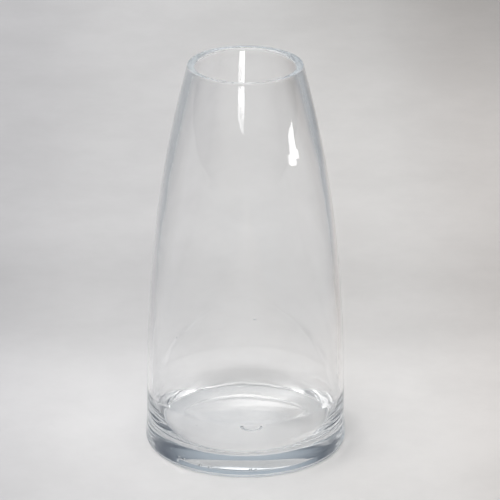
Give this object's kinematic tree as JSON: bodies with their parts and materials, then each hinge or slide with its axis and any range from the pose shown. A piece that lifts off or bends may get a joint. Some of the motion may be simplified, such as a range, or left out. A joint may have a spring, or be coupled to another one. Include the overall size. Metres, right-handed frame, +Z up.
{
  "type": "flower vase",
  "caption": "Tall clear glass flower vase: round wall leaning in to a narrow open mouth, on a thick flat base with a hollow underside.",
  "frame": {"origin": "centre of the circle that the vase stands on, on the table's surface", "axes": "+Z up along the vase's axis, through the open mouth; +X and +Y are level, and the vase is round about Z"},
  "size_m": [0.152, 0.152, 0.3],
  "materials": {
    "clear_glass": "clear glass with a very slight blue cast, fire-polished and glossy all over, with faint waviness and a few tiny bubbles"
  },
  "bodies": {
    "root": {"base": "clear_glass", "body_wall": "clear_glass", "shoulder_wall": "clear_glass", "rim": "clear_glass"}
  },
  "joints": []
}
